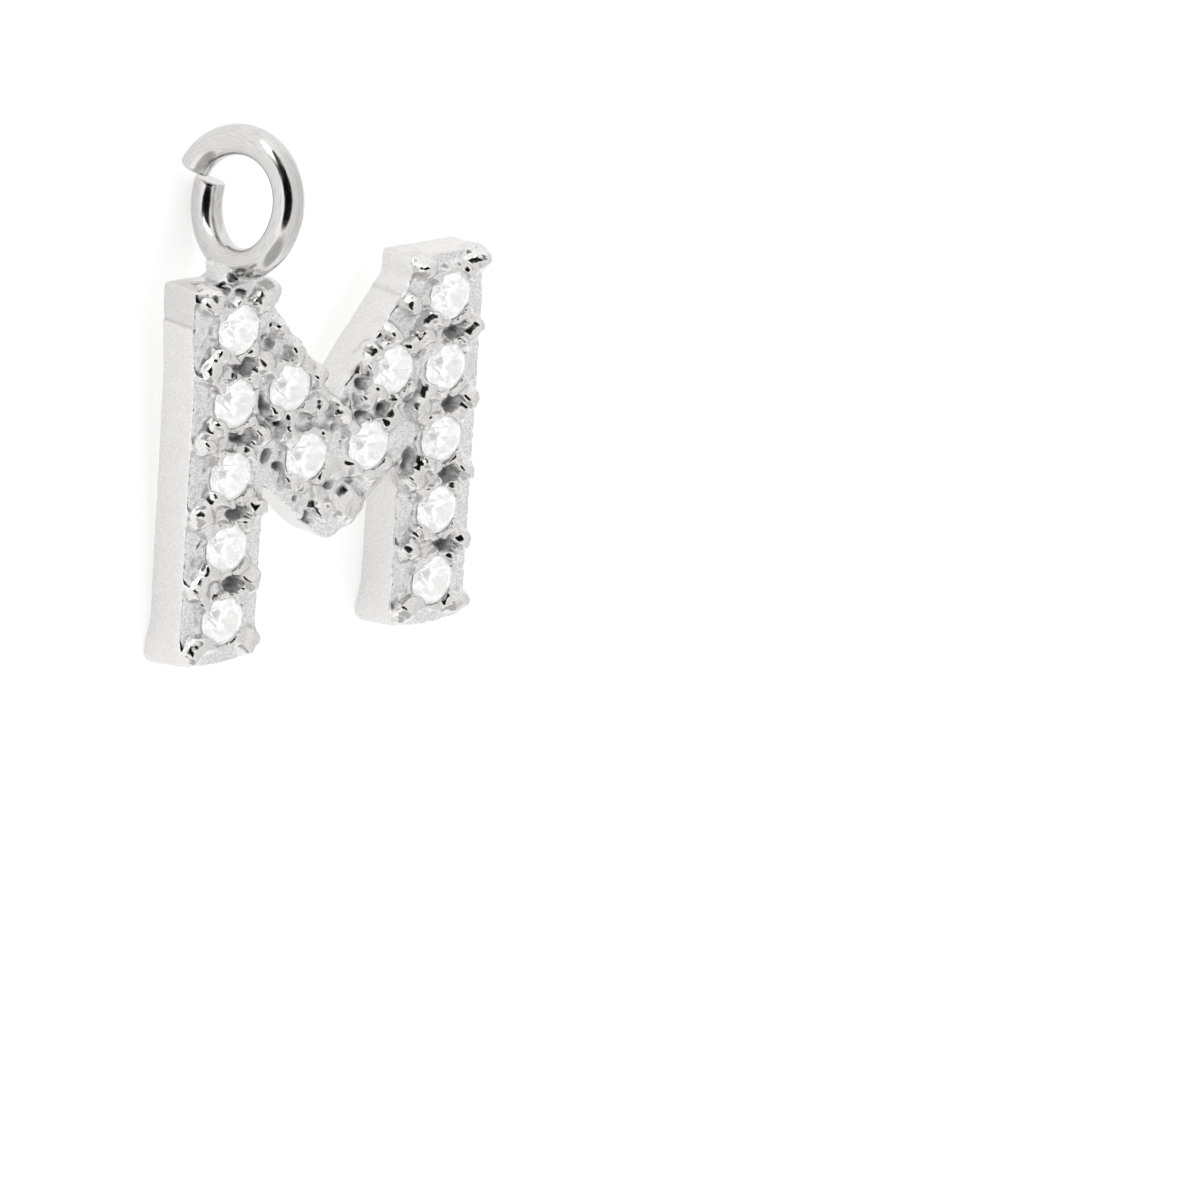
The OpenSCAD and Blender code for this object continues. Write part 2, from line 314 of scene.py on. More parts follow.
class Casting:
    """Works out the letter's metal in its own frame, in mm."""

    # Room on the grid: beside the letter, below its back, above its top and above its face.
    MARGIN, BELOW, OVER_TOP, OVER_FACE = 0.25, 0.12, 1.0, 0.6
    # How much higher the back lies than the solid's, so that the flared feet clear the floor.
    BACK_Z = 0.02
    # The legs' feet: how far they bulge down, how far they flare at the back, which share of
    # that the hidden right side goes without, and over which height.
    FOOT_BULGE, FLARE, FLARE_LESS, FLARE_H = 0.09, 0.15, 0.5, 0.95
    # The legs' shoulder: its depth under the top, its step and groove, and half their width.
    SHOULDER_DEPTH, SHOULDER, SHOULDER_SOFT = 0.8, 0.03, 0.04
    # The left leg's outer wall leans out towards its top, between these two depths and outside
    # this distance from the leg's middle.
    LEAN, LEAN_LOW, LEAN_HIGH, LEAN_X = 0.13, 2.4, 0.3, 0.2
    # The upper corners are this share of the lower ones.
    TOP_CORNER_SHARE = 0.5
    # Fillet where the arms meet the legs.
    ARM_FILLET = 0.06
    # A collar's middle, from the stone's rim, where its slope starts and stops on either side
    # of that, and how much higher it stands above and below the stone.
    COLLAR_X, COLLAR_IN, COLLAR_OUT, COLLAR_ENDS = 0.02, 0.06, 0.18, 1.9
    # Share of a recess's half size at which its floor ends, and at which its slope ends.
    PATCH_FLOOR, PATCH_RIM = 0.35, 1.25
    # How far the relief wanders, and the width of that wandering and of the grain.
    WANDER, WANDER_W, GRAIN_W = 0.15, 0.28, 0.12
    # How much the beads differ in size and how fast along each mm, how deep their roots go, and
    # the roots' share of a bead.
    BEAD_VARIES, BEAD_CHANGE, ROOT_DEPTH, ROOT_SHARE = 0.25, 1.7, 0.15, 1.1
    # Fillet of beads and webs, and that of the small prongs.
    BEAD_FILLET, PRONG_FILLET = 0.16, 0.14
    # Webs as (radius at the bead, radius at the stone, depth of their middle under the face),
    # and how far from a stone's rim those of the arms stop.
    EDGE_WEB = (0.2, 0.14, 0.04)
    ARM_WEB = (0.17, 0.13, 0.04)
    ARM_WEB_STOP = 0.08
    # Stones' seats: the gap round the girdle, where its wall starts and stops from the girdle's
    # middle, how far the cone and the crown's slope run in for each mm of height, and the
    # steepness by which those two are divided to be distances.
    SEAT_GAP, WALL_LOW, WALL_HIGH = 0.014, 0.03, 0.055
    CONE_RUN, CROWN_RUN, RUN_STEEPNESS = 1.16, 1.35, 1.6
    # From the middle of a gap in a leg to the bead on either side.
    EDGE_BEAD_X = 0.735
    # From a stone to its four small prongs, which way each lies, its share of a prong and the
    # height of its middle over the face. How far they lean in, and how deep their roots go.
    PRONG_X, PRONG_Y = 0.48, 0.47
    PRONGS = ((1, 1, 1.1, 0.1), (-1, 1, 1.3, 0.0), (-1, -1, 1.15, 0.13), (1, -1, 1.3, 0.02))
    PRONG_LEAN, PRONG_ROOT = 0.03, 0.1
    # Beads at the legs' corners, from the first and the last stone, and their share of a bead.
    TOP_CORNER = (0.76, 0.7, 1.08)
    LOW_CORNER = (0.75, -0.56, 1.08)
    # Beads of the arms, as (x, y, share of a bead), built on both sides.
    ARM_BEADS = (
        (1.87, 3.07, 0.9), (1.35, 2.5, 0.85), (0.715, 1.87, 0.85),
        (0.655, 1.2, 0.88), (1.45, 1.08, 0.66), (1.47, 0.69, 0.85),
    )
    # Beads that have no twin.
    MIDDLE_BEADS = ((0.02, 1.0, 1.12), (-0.36, -1.14, 0.8), (-1.0, -0.52, 0.6))
    # Low domes, as (x, y, radius, height over the face). Each is a web of this short length.
    DOME_RUN = 0.05
    DOMES = ((0.36, -1.1, 0.58, 0.27), (0.0, -0.26, 0.36, 0.2), (1.03, -0.52, 0.34, 0.17))
    # Recesses and raised webs, as (x, y, half width, half height). In a leg they repeat in each
    # gap, from its middle.
    GAP_TROUGH = (0.24, -0.03, 0.34, 0.2)
    GAP_WEB = (-0.3, 0.0, 0.46, 0.34)
    ARM_TROUGHS = (
        (-2.0, 2.9, 0.17, 0.34), (-2.1, 1.4, 0.13, 0.27), (-1.52, 0.9, 0.17, 0.25),
        (-0.7, 1.22, 0.2, 0.28), (-0.1, 0.78, 0.13, 0.32), (-1.93, 0.25, 0.14, 0.14),
        (-1.58, -0.06, 0.14, 0.12), (-0.97, -0.68, 0.14, 0.2), (-0.6, -1.25, 0.16, 0.22),
        (0.05, -0.57, 0.42, 0.09), (0.42, -0.55, 0.15, 0.14), (0.5, -0.28, 0.16, 0.14),
        (0.67, 0.83, 0.18, 0.22), (1.3, 0.9, 0.13, 0.3), (0.62, 1.6, 0.12, 0.22),
        (2.18, 0.88, 0.22, 0.26), (2.14, -0.48, 0.22, 0.28), (2.2, 2.05, 0.24, 0.16),
        (2.43, 2.8, 0.14, 0.3),
    )
    # Height of a raised web, in collars.
    WEB_COLLARS = 2.2
    # Fillet of solder beside the wire's foot: its middle, its half sizes and its edges' radius.
    SOLDER_BLOCK = ((-2.8, 4.16, 0.47), (0.26, 0.3, 0.45), 0.1)
    # Solder under the wire's foot: its radius at the leg and at the wire, how deep in the leg
    # and how far above the plate's middle it starts, and how far under the wire's it ends.
    NECK_R = (0.4, 0.26)
    NECK_START, NECK_RISE, NECK_STOP = 0.15, 0.02, 0.1
    # Solder on the wire: its thickness, how much it thins, and between which distances.
    FILM, FILM_THINS, FILM_FROM, FILM_TO = 0.03, 0.1, 0.15, 0.6
    # Pits where the solder ran thin, as (x, y, z, run to the right, radius).
    SOLDER_PITS = (
        (-3.66, 4.1, 0.5, 0.08, 0.08), (-3.5, 4.09, 0.66, 0.1, 0.08),
        (-3.44, 4.08, 0.86, 0.18, 0.08), (-3.3, 4.07, 1.0, 0.1, 0.08),
        (-3.16, 4.12, 0.8, 0.04, 0.075), (-3.26, 4.1, 0.78, 0.04, 0.06),
        (-3.36, 4.1, 0.78, 0.04, 0.065), (-3.9, 4.22, 0.8, 0.08, 0.05),
        (-3.1, 4.3, 0.87, 0.16, 0.085), (-2.78, 4.22, 0.86, 0.26, 0.08),
        (-2.5, 4.09, 0.5, 0.2, 0.08), (-2.95, 3.99, 1.06, 0.14, 0.08),
    )

    def __init__(self, sizes):
        for name in sizes.__annotations__:
            setattr(self, name, getattr(sizes, name) / MM)
        self.half_h = self.letter_h / 2
        self.stone_r = self.stone_d / 2
        self.stones = stone_places()
        self.legs = {n: p for n, p in self.stones.items() if "leg" in n}
        heights = sorted(sy for sx, sy in self.legs.values() if sx > 0)
        self.pitch = heights[1] - heights[0]
        out_x, out_y = LEG_X + self.leg_w / 2 + self.MARGIN, self.half_h + self.MARGIN
        low = (-out_x, -out_y, -self.BELOW)
        high = (out_x, self.half_h + self.OVER_TOP, self.plate_t + self.OVER_FACE)
        self.field = CastField(low, high, self.voxel)

    def gaps(self):
        """Middles of the gaps between the stones of the legs."""
        for name, (sx, sy) in self.legs.items():
            if not name.endswith("_1"):
                yield sx, sy + self.pitch / 2

    def outline(self, x, y):
        """Distance to the letter's outline on the face."""
        half_w = self.leg_w / 2
        bulge = self.FOOT_BULGE * (1 - np.clip((np.abs(x) - LEG_X) / half_w, -1, 1) ** 2)
        stretched = y + np.where(y < -self.half_h / 2, bulge, 0)
        over = y - self.half_h + self.SHOULDER_DEPTH
        groove = self.SHOULDER * np.exp(-((over / self.SHOULDER_SOFT) ** 2))
        step = self.SHOULDER * smooth_step(over, -self.SHOULDER_SOFT, self.SHOULDER_SOFT)
        half_w = half_w - (step + groove)
        corner_r = np.where(y < 0, 1.0, self.TOP_CORNER_SHARE) * self.corner_r
        outer = smooth_step(-x, LEG_X + self.LEAN_X, LEG_X + self.leg_w / 2)
        rise = smooth_step(y, self.half_h - self.LEAN_LOW, self.half_h - self.LEAN_HIGH)
        leg_x = np.abs(x + self.LEAN * outer * rise) - LEG_X
        leg = rounded_box(leg_x, stretched, half_w, self.half_h, corner_r)
        inner_x = LEG_X - self.leg_w / 2
        root = (inner_x, self.half_h - self.arm_root_depth)
        foot_y = self.half_h - self.foot_depth + self.foot_r
        run = (root[0], root[1] - foot_y)
        turn = math.atan2(run[1], run[0]) - math.acos(self.foot_r / math.hypot(*run))
        touch = (self.foot_r * math.cos(turn), foot_y + self.foot_r * math.sin(turn))
        right = [
            (0, self.half_h - self.notch_depth),
            (inner_x, self.half_h - self.arm_step),
            (LEG_X, self.half_h - self.arm_step),
            (LEG_X, root[1]),
            root,
            touch,
        ]
        left = [(-a, b) for a, b in right[:0:-1]]
        arms = polygon_distance(x, y, right + [(0, foot_y)] + left)
        foot = np.hypot(x, y - foot_y) - self.foot_r
        return smooth_min(np.minimum(arms, foot), leg, self.ARM_FILLET)

    def relief(self, x, y):
        """Height of the face above the plate: collars round the stones, troughs between."""
        height = np.zeros(x.shape)
        # The same waves serve for x and, turned half round, for y.
        x, y = x + self.wander, y + self.wander[::-1, ::-1]

        def patch(px, py, half_w, half_h, change):
            away = np.hypot((x - px) / half_w, (y - py) / half_h)
            return change * (1 - smooth_step(away, self.PATCH_FLOOR, self.PATCH_RIM))

        for sx, sy in self.stones.values():
            rim = np.hypot(x - sx, y - sy) - self.stone_r
            ends = 1 + self.COLLAR_ENDS * smooth_step(np.abs(y - sy) / self.stone_r, 0.7, 1.0)
            slope = smooth_step(np.abs(rim - self.COLLAR_X), self.COLLAR_IN, self.COLLAR_OUT)
            height += self.collar_h * ends * (1 - slope)
        deep = -self.trough_depth - self.collar_h
        web = self.WEB_COLLARS * self.collar_h
        for gx, gy in self.gaps():
            for (tx, ty, half_w, half_h), change in ((self.GAP_TROUGH, deep), (self.GAP_WEB, web)):
                height += patch(gx + tx, gy + ty, half_w, half_h, change)
        for trough in self.ARM_TROUGHS:
            height += patch(*trough, deep)
        return height

    def waves(self, x, y, width):
        """Smooth noise over the face, with features of a width in mm."""
        return np.array([[noise.noise(Vector((a, b, 0)) / width) for b in y] for a in x])

    def plate(self):
        """The flat letter, with its relief and its flared feet."""
        x, y, z = self.field.axes
        flat_x, flat_y = np.meshgrid(x, y, indexing="ij")
        side = self.outline(flat_x, flat_y)
        self.wander = self.WANDER * self.waves(x, y, self.WANDER_W)
        grain = self.grain * self.waves(x, y, self.GRAIN_W)
        height = self.plate_t + self.relief(flat_x, flat_y) + grain
        steepness = np.sqrt(1 + sum(g * g for g in np.gradient(height, self.voxel)))
        top = (z - height[..., None]) / steepness[..., None]
        foot = smooth_step(-y, self.half_h - self.FLARE_H, self.half_h)
        share = 1 - self.FLARE_LESS * smooth_step(x, LEG_X, LEG_X + 0.5)
        flare = self.FLARE * share[:, None] * foot[None, :]
        walls = side[..., None] - flare[..., None] * (1 - z / self.plate_t).clip(0, 1)
        body = smooth_max(walls, top, self.edge_r)
        back = self.BACK_Z - np.broadcast_to(z, body.shape)
        self.field.values = smooth_max(body, back, self.edge_r)

    def bead(self, x, y, share=1.0):
        """A bead on a broad root."""
        varied = 1 + self.BEAD_VARIES * noise.noise(Vector((x, y, 0)) * self.BEAD_CHANGE)
        bead_r = share * self.bead_d / 2 * varied
        middle = (x, y, self.plate_t + self.bead_h - bead_r)
        root = (x, y, self.plate_t - self.ROOT_DEPTH)
        shape = bar(root, middle, self.ROOT_SHARE * bead_r, bead_r)
        self.field.add(middle, lumpy(shape), reach=0.9, blend=self.BEAD_FILLET)

    def web(self, start, stop, start_r, stop_r, drop):
        """A low ridge of metal over the face from one place to another."""
        low = self.plate_t - drop
        ridge = bar((*start, low), (*stop, low), start_r, stop_r)
        self.field.add((*start, low), lumpy(ridge), reach=1.0, blend=self.BEAD_FILLET)

    def prongs(self):
        """Four small prongs at each stone's rim, leaning over it a little."""
        for sx, sy in self.stones.values():
            for turn_x, turn_y, share, rise in self.PRONGS:
                x, y = sx + turn_x * self.PRONG_X, sy + turn_y * self.PRONG_Y
                r = share * self.prong_d / 2
                lean_x, lean_y = self.PRONG_LEAN * turn_x, self.PRONG_LEAN * turn_y
                top = (x - lean_x, y - lean_y, self.plate_t + rise)
                grip = bar((x, y, self.plate_t - self.PRONG_ROOT), top, r, r)
                self.field.add(top, lumpy(grip), reach=0.7, blend=self.PRONG_FILLET)

    def leg_beads(self):
        """Beads along the legs' edges, with webs to the stones' rims."""
        for gx, gy in self.gaps():
            for side in (-1, 1):
                x = gx + side * self.EDGE_BEAD_X
                self.bead(x, gy)
                for rise in (-1, 1):
                    rim = (gx + side * self.PRONG_X, gy + rise * (self.pitch / 2 - self.PRONG_Y))
                    self.web((x, gy), rim, *self.EDGE_WEB)
        corners = {"1": self.TOP_CORNER, "5": self.LOW_CORNER}
        for name, (sx, sy) in self.legs.items():
            if name[-1] not in corners:
                continue
            off_x, off_y, share = corners[name[-1]]
            for side in (-1, 1):
                x, y = sx + side * off_x, sy + off_y
                self.bead(x, y, share)
                rim = (sx + side * self.PRONG_X, sy + math.copysign(self.PRONG_Y, off_y))
                self.web((x, y), rim, *self.EDGE_WEB)

    def arm_beads(self):
        """Beads of the arms, each with a web to the nearest stone, and the low domes."""
        sides = [(side * a, b, s) for a, b, s in self.ARM_BEADS for side in (-1, 1)]
        for x, y, share in sides + list(self.MIDDLE_BEADS):
            self.bead(x, y, share)
            near = min(self.stones.values(), key=lambda p: math.hypot(p[0] - x, p[1] - y))
            run = Vector(near) - Vector((x, y))
            rim = Vector((x, y)) + run * (1 - (self.stone_r + self.ARM_WEB_STOP) / run.length)
            self.web((x, y), tuple(rim), *self.ARM_WEB)
        for x, y, r, rise in self.DOMES:
            self.web((x, y), (x + self.DOME_RUN, y), r, r, r - rise)

    def seats(self):
        """Holes for the stones: a cone, a wall round the girdle, and the crown's slope above it."""
        wall_r = self.stone_r + self.SEAT_GAP
        low = self.plate_t + self.girdle_lift - self.WALL_LOW
        high = self.plate_t + self.girdle_lift + self.WALL_HIGH
        for sx, sy in self.stones.values():

            def hole(x, y, z):
                cone = np.maximum(low - z, 0) * self.CONE_RUN
                width = wall_r - cone - np.maximum(z - high, 0) * self.CROWN_RUN
                steepness = np.where((z < low) | (z > high), self.RUN_STEEPNESS, 1)
                return (np.hypot(x - sx, y - sy) - width) / steepness

            self.field.remove((sx, sy, self.plate_t), hole, reach=0.95, blend=0.02)

    def solder(self, ring):
        """Solder that runs from the leg's top up the foot of the wire."""
        foot = ring.foot()
        base = (foot.x, self.half_h - self.NECK_START, self.plate_t / 2 + self.NECK_RISE)
        top = (foot.x, foot.y - self.NECK_STOP, foot.z)
        self.field.add(top, bar(base, top, *self.NECK_R), reach=1.0, blend=0.18)
        block = rounded_block(*self.SOLDER_BLOCK)
        self.field.add(self.SOLDER_BLOCK[0], lumpy(block), reach=1.0, blend=0.2)
        arc = ring.arcs()[1]

        def film(x, y, z):
            off = (x - arc.centre.x, y - arc.centre.y, z - arc.centre.z)
            out = sum(o * a for o, a in zip(off, arc.axis))
            across = np.sqrt(sum((o - out * a) ** 2 for o, a in zip(off, arc.axis)))
            tube = np.hypot(across - ring.r, out) - ring.wire_r
            low_y = foot.y - ring.wire_r
            away = np.sqrt((x - foot.x) ** 2 + (y - low_y) ** 2 + (z - foot.z) ** 2)
            thin = self.FILM_THINS * smooth_step(away, self.FILM_FROM, self.FILM_TO)
            return tube - self.FILM + thin

        self.field.add(tuple(foot), film, reach=0.85, blend=0.12)
        for x, y, z, run, r in self.SOLDER_PITS:
            pit = bar((x, y, z), (x + run, y - 0.08, z - 0.02), r, r)
            self.field.remove((x, y, z), lumpy(pit, 0.02), reach=0.5, blend=0.03)

    def build(self, ring):
        """All of the metal, as places and quads."""
        self.plate()
        self.prongs()
        self.leg_beads()
        self.arm_beads()
        self.seats()
        self.solder(ring)
        return self.field.surface()


# How far out from a place, in mm, the metal round it is felt for.
FEEL = 0.16
# Shares of cast skin on the ground of the face, along its edge, in hollows and on solder.
SKIN_GROUND, SKIN_EDGE, SKIN_HOLLOW, SKIN_SOLDER = 0.75, 0.6, 0.9, 0.45
# Shares of painted shade in recesses, in hollows of the face, along the shoulders' line, on the
# band above it and on the top.
SHADE_RECESS, SHADE_HOLLOW, SHADE_LINE, SHADE_BAND, SHADE_TOP = 0.46, 0.55, 0.23, 0.13, 0.08
# Widths, in mm, of the swells, lumps and fine lumps by which a casting strays from true.
SWELL_W, LUMP_W, FINE_W = 0.9, 0.27, 0.12


def finish_shares(casting, places, normals):
    """How each place of the casting came out of the tumbling, and how much painted shade it gets.

    The first share is 1 where it stays as cast, and the second where painted shade darkens it: in
    recesses, hollows and pits, on the shoulders and on the top.
    """
    closed = 1 - casting.field.at(places + FEEL * normals) / FEEL
    x, y, z = places.T
    top_y, face_z = casting.half_h, casting.plate_t
    face = smooth_step(z, face_z - 0.45, face_z - 0.3)
    low = face * smooth_step(-z, -face_z - 0.2, -face_z - 0.05)
    inside = smooth_step(-casting.outline(x, y), 0.0, 0.08)
    # The face's edge is half polished.
    edge = np.maximum(inside, SKIN_EDGE * smooth_step(normals[:, 2], 0.2, 0.5))
    hollow = SKIN_HOLLOW * face * smooth_step(closed, 0.25, 0.8)
    skin = np.clip(SKIN_GROUND * low * edge + hollow, 0, 1)
    # Painted shade in the recesses, growing as the ground lies deeper under the face.
    deep = inside * skin * smooth_step(-z, -face_z + 0.03, -face_z + 0.16)
    solder = smooth_step(y, top_y, top_y + 0.1)
    skin = np.maximum(skin, SKIN_SOLDER * solder)
    # Painted shade in the pits, most of all round the solder, in the crevice at the ring's foot.
    pit_shade = np.maximum(SHADE_HOLLOW * face, smooth_step(y, top_y - 0.25, top_y - 0.12))
    deep = np.maximum(SHADE_RECESS * deep, pit_shade * smooth_step(closed, 0.65, 1.1))
    # The legs' shoulders: a line of painted shade, and above it on the left leg a band of painted
    # shade on the outer wall.
    over = y - top_y + casting.SHOULDER_DEPTH
    line = SHADE_LINE * np.exp(-((over / 0.035) ** 2))
    band = SHADE_BAND * (x < 0) * smooth_step(over, -0.03, 0.03) + line
    wall_shade = band * smooth_step(-normals[:, 0], 0.5, 0.8)
    # Painted shade on the faces that look up the letter, its top.
    top = SHADE_TOP * smooth_step(normals[:, 1], 0.6, 0.9)
    deep = np.maximum(deep, np.maximum(wall_shade, top))
    for sx, sy in casting.stones.values():
        rim = np.hypot(x - sx, y - sy)
        clear = smooth_step(rim, casting.stone_r + 0.02, casting.stone_r + 0.06)
        skin, deep = skin * clear, deep * clear
    return skin, deep


def tumbled(casting, places, normals):
    """The places moved as a casting strays from true, most of all on its beads."""
    waves = np.array([noise.noise(Vector(p) / SWELL_W) for p in places]) * 0.5
    lumps = [
        noise.noise(Vector(p) / LUMP_W) + 0.5 * noise.noise(Vector(p) / FINE_W) for p in places
    ]
    raised = smooth_step(places[:, 2], casting.plate_t - 0.1, casting.plate_t + 0.15)
    waves += (0.25 + raised) * np.array(lumps)
    return places + casting.grain * waves[:, None] * normals


def cast_mesh(name, casting, ring):
    """The casting as a mesh, with its shares of cast skin and of painted shade as skin and deep."""
    places, quads = casting.build(ring)
    mesh = bpy.data.meshes.new(name)
    mesh.from_pydata(places.tolist(), [], quads.tolist())
    mesh.update()
    normals = np.empty(len(places) * 3)
    mesh.vertex_normals.foreach_get("vector", normals)
    normals = normals.reshape(-1, 3)
    # deep carries the painted shade of recesses, hollows, pits, tops and the shoulder band.
    for kind, value in zip(("skin", "deep"), finish_shares(casting, places, normals)):
        kept = mesh.attributes.new(kind, "FLOAT", "POINT")
        kept.data.foreach_set("value", value.astype(np.float32))
    mesh.vertices.foreach_set("co", tumbled(casting, places, normals).ravel())
    mesh.transform(LETTER)
    mesh.polygons.foreach_set("use_smooth", [True] * len(mesh.polygons))
    mesh.update()
    return mesh


# The jump ring


class Arc:
    """One arc of the ring, turned about its hinge."""

    def __init__(self, ring, turn):
        self.depth = ring.axis.cross(ring.up)
        self.depth.rotate(Matrix.Rotation(turn, 3, ring.up))
        self.ring = ring
        self.centre = ring.hinge - self.spoke(ring.hinge_angle)
        self.axis = ring.up.cross(self.depth).normalized()

    def spoke(self, angle):
        """From the centre to the wire at an angle that runs from the top to the front."""
        up = math.cos(angle) * self.ring.up
        return self.ring.r * (up + math.sin(angle) * self.depth)

    def at(self, angle):
        """The wire's middle at an angle."""
        return self.centre + self.spoke(angle)


class Ring:
    """Works out the jump ring in the letter's frame, in mm, from its mount."""

    # How far from the hinge, as an angle, one arc goes over into the other.
    EASE = 0.3

    def __init__(self, sizes):
        self.wire_r = sizes.wire_d / MM / 2
        self.r = sizes.inner_d / MM / 2 + self.wire_r
        self.hinge_angle = sizes.hinge_angle
        self.ends = sizes.long_end, sizes.short_end
        self.half_open = sizes.open_angle / 2
        place, axis = mount("ring_eye")
        back = LETTER.inverted()
        self.middle = back @ place
        self.axis = (back.to_3x3() @ axis).normalized()
        self.up = Vector((-self.axis.y, self.axis.x, 0)).normalized()
        depth = self.axis.cross(self.up)
        reach = math.sin(self.hinge_angle) * math.cos(self.half_open)
        self.hinge = self.middle + self.r * (math.cos(self.hinge_angle) * self.up + reach * depth)

    def arcs(self):
        """The long arc and the short one."""
        return [Arc(self, turn) for turn in (self.half_open, -self.half_open)]

    def foot(self):
        """The lowest point of the wire's middle line."""
        short = self.arcs()[1]
        return short.at(math.pi)

    def route(self, step):
        """The wire's middle line, from the long end to the short one."""
        long_arc, short_arc = self.arcs()
        start, stop = self.ends
        count = math.ceil((stop - start) / step)
        places = []
        for k in range(count + 1):
            angle = start + (stop - start) * k / count
            share = smooth_step(angle, self.hinge_angle - self.EASE, self.hinge_angle + self.EASE)
            places.append(long_arc.at(angle).lerp(short_arc.at(angle), float(share)))
        return places


def sweep(name, route, radius_at, sides):
    """A round wire along a route, with flat cut ends. Its map is in mm: along, then round."""
    work = bmesh.new()
    maps = work.loops.layers.uv.new("wire")
    count = len(route)
    side = Vector((0, 0, 1))
    rings, run = [], [0.0]
    for k, place in enumerate(route):
        ahead = (route[min(k + 1, count - 1)] - route[max(k - 1, 0)]).normalized()
        side = (side - ahead * side.dot(ahead)).normalized()
        other = ahead.cross(side)
        if k:
            run.append(run[-1] + (place - route[k - 1]).length)
        rings.append(
            [
                work.verts.new(place + radius_at(k) * (math.cos(a) * side + math.sin(a) * other))
                for a in (2 * math.pi * j / sides for j in range(sides))
            ]
        )
    round_mm = 2 * math.pi * radius_at(count // 2) / sides
    for k in range(count - 1):
        for j in range(sides):
            nxt = (j + 1) % sides
            face = work.faces.new((rings[k][j], rings[k][nxt], rings[k + 1][nxt], rings[k + 1][j]))
            corners = ((k, j), (k, j + 1), (k + 1, j + 1), (k + 1, j))
            for loop, (a, b) in zip(face.loops, corners):
                loop[maps].uv = (run[a], b * round_mm)
    work.faces.new(rings[0][::-1])
    work.faces.new(rings[-1])
    mesh = bpy.data.meshes.new(name)
    work.to_mesh(mesh)
    work.free()
    return mesh


# Materials


def linear(sixteen):
    """An sRGB hex value as a linear colour."""
    parts = [int(sixteen[k : k + 2], 16) / 255 for k in (0, 2, 4)]
    return [c / 12.92 if c <= 0.04045 else ((c + 0.055) / 1.055) ** 2.4 for c in parts] + [1.0]


def per_mm(size):
    """Scale of a texture whose features are that many mm, on coordinates in metres."""
    return 1 / (size * MM)


def add_node(tree, kind, inputs=None, **settings):
    """Adds a node with its settings, and its inputs as values or as links from sockets."""
    made = tree.nodes.new("ShaderNode" + kind)
    for key, value in settings.items():
        setattr(made, key, value)
    for key, value in (inputs or {}).items():
        if isinstance(value, bpy.types.NodeSocket):
            tree.links.new(value, made.inputs[key])
        else:
            made.inputs[key].default_value = value
    return made


def ranged(tree, value, start, stop, low=0.0, high=1.0, **settings):
    """A value's range from start to stop, turned into one from low to high."""
    ends = {"Value": value, "From Min": start, "From Max": stop, "To Min": low, "To Max": high}
    return add_node(tree, "MapRange", ends, **settings).outputs["Result"]


def mixed(tree, share, first, second, kind="RGBA"):
    """A mix of two colours, or of two values, by a share."""
    parts = {"Factor": share, "A": first, "B": second}
    return add_node(tree, "Mix", parts, data_type=kind).outputs["Result"]


def grainy(tree, place, size, **more):
    """Noise whose features are that many mm, on coordinates in metres."""
    inputs = {"Vector": place, "Scale": per_mm(size), **more}
    return add_node(tree, "TexNoise", inputs).outputs["Fac"]


def bumped(tree, height, depth, strength):
    """A normal that a height bends, with a depth in mm."""
    inputs = {"Strength": strength, "Distance": depth * MM, "Height": height}
    return add_node(tree, "Bump", inputs).outputs["Normal"]


def new_material(name):
    """An empty node material and its tree."""
    made = bpy.data.materials.new(name)
    made.use_nodes = True
    made.node_tree.nodes.clear()
    return made, made.node_tree


def finish_material(tree, **inputs):
    """The shader and its output, from inputs named with low lines for spaces."""
    named = {key.replace("_", " "): value for key, value in inputs.items()}
    shader = add_node(tree, "BsdfPrincipled", named)
    add_node(tree, "OutputMaterial", {"Surface": shader.outputs[0]})


def cast_silver(colours):
    """Sterling silver, investment cast, tumbled and rhodium plated.

    Walls and beads are a bright satin. The face between them keeps a grey, sandy cast skin
    that the tumbling can't reach, so each bead stands out of a darker, rougher ground; a painted
    shade darkens its recesses, hollows and pits, the tops and the left leg's shoulder band further.
    """
    made, tree = new_material("cast_silver")
    place = add_node(tree, "TexCoord").outputs["Object"]
    skin = add_node(tree, "Attribute", attribute_name="skin").outputs["Fac"]
    deep = add_node(tree, "Attribute", attribute_name="deep").outputs["Fac"]
    # Patches left by the tumbling, about 0.35 mm across, break up the border of the skin.
    patch = grainy(tree, place, 0.35, Detail=3.0)
    uneven = ranged(tree, patch, 0.3, 0.7, -0.3, 0.3)
    kept = add_node(tree, "Math", {0: skin, 1: uneven}, operation="ADD").outputs["Value"]
    reach = ranged(tree, kept, 0.2, 0.9, interpolation_type="SMOOTHSTEP")
    # Sand of the mould, in grains of about 0.05 mm, gives the face its sparkle and its grey.
    sand = grainy(tree, place, 0.05, Detail=3.0, Roughness=0.65)
    dirt = ranged(tree, sand, 0.35, 0.6)
    grain = mixed(tree, dirt, linear(colours.cast_pits), linear(colours.cast_skin))
    satin = mixed(tree, dirt, linear(colours.satin), linear(colours.silver))
    tone = mixed(tree, reach, satin, grain)
    # Painted shade: the deep attribute mixes in the painted shade colour where shade falls.
    shaded_tone = mixed(tree, deep, tone, linear(colours.painted_shade))
    smooth = ranged(tree, patch, 0.35, 0.7, 0.1, 0.24)
    matt = ranged(tree, deep, 0.0, 1.0, 0.5, 0.75)
    rough = mixed(tree, reach, smooth, matt, "FLOAT")
    sandy = ranged(tree, reach, 0.0, 1.0, 0.3, 0.9)
    bump = bumped(tree, sand, 0.008, sandy)
    finish_material(tree, Base_Color=shaded_tone, Metallic=1.0, Roughness=rough, Normal=bump)
    return made


